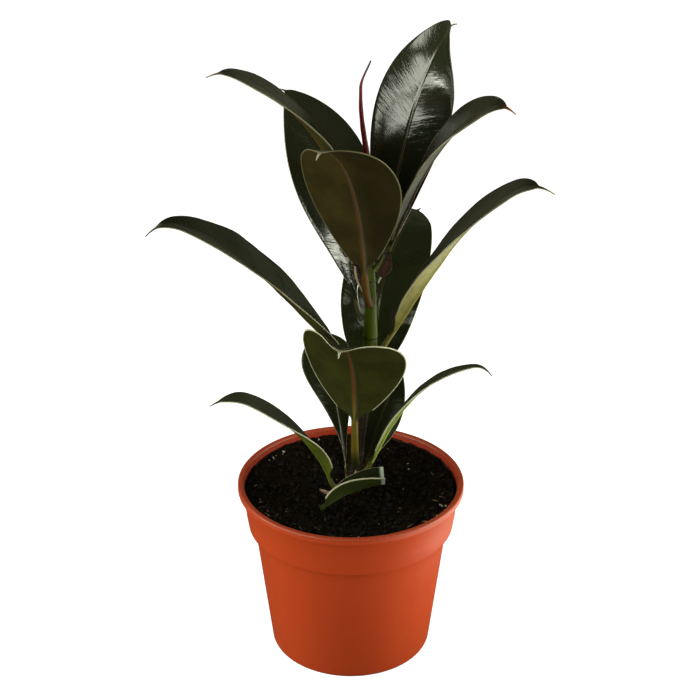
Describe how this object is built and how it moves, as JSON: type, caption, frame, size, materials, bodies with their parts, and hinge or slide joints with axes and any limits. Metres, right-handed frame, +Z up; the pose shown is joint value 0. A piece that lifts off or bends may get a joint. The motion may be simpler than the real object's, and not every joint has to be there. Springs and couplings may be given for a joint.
{
  "type": "potted rubber plant",
  "caption": "Young rubber plant with dark glossy pale-edged leaves on an upright stem, growing in soil in a round tapered plastic nursery pot with a wide rim band.",
  "frame": {"origin": "centre of the pot's flat underside", "axes": "+Z up along the stem, -Y towards the side of the plant that its front leaves face, +X to that side's right"},
  "size_m": [0.1951, 0.1315, 0.3405],
  "materials": {
    "terracotta_plastic": "terracotta-orange moulded plastic, satin",
    "potting_soil": "dark moist peat and bark",
    "stem_green": "smooth green young stem, brown at its foot",
    "leaf_green": "near-black green, waxy gloss above, olive and duller below, pale cream margin",
    "sheath_red": "smooth dark red, dry black tip",
    "withered_brown": "dry and papery, brown to cream"
  },
  "bodies": {
    "root": {"pot": "terracotta_plastic", "soil": "potting_soil", "stem": "stem_green", "leaf_top_right": "leaf_green", "leaf_upper_back_left": "leaf_green", "leaf_upper_front": "leaf_green", "leaf_top_left": "leaf_green", "leaf_upper_right": "leaf_green", "leaf_middle_right": "leaf_green", "leaf_middle_left": "leaf_green", "leaf_middle_back": "leaf_green", "leaf_lower_front": "leaf_green", "leaf_low_back_left": "leaf_green", "leaf_low_back_right": "leaf_green", "leaf_low_right": "leaf_green", "leaf_low_left": "leaf_green", "leaf_cut_short": "leaf_green", "terminal_sheath": "sheath_red", "dried_stipule": "withered_brown", "torn_sheath": "withered_brown", "dried_fibre": "withered_brown", "pale_stipule": "withered_brown"}
  },
  "joints": []
}
